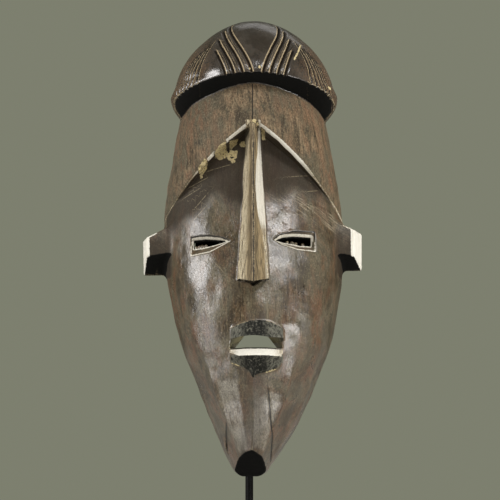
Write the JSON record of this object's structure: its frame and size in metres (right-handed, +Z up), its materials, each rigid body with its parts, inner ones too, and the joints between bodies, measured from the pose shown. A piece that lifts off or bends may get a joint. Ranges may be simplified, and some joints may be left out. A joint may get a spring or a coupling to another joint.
{
  "type": "carved face mask on display stand",
  "caption": "Long carved wooden face mask with pointed brow, ridge nose, slit eyes and ribbed domed crest, hollow behind, resting on a black steel rod stand with a square foot plate",
  "frame": {"origin": "middle of the foot plate's underside, which stands on the table", "axes": "+Z up, the mask looks along -Y, +X is to the right of someone facing the mask"},
  "size_m": [0.1683, 0.131, 0.46],
  "materials": {
    "carved_wood": "waxed dark patina with kaolin traces",
    "black_steel": "satin black paint",
    "black_felt": "matte felt"
  },
  "bodies": {
    "root": {"mask": "carved_wood", "rod": "black_steel", "cradle": "black_steel", "cross_bar": "black_steel", "foot": "black_steel", "pad_left": "black_felt", "pad_right": "black_felt"}
  },
  "joints": []
}
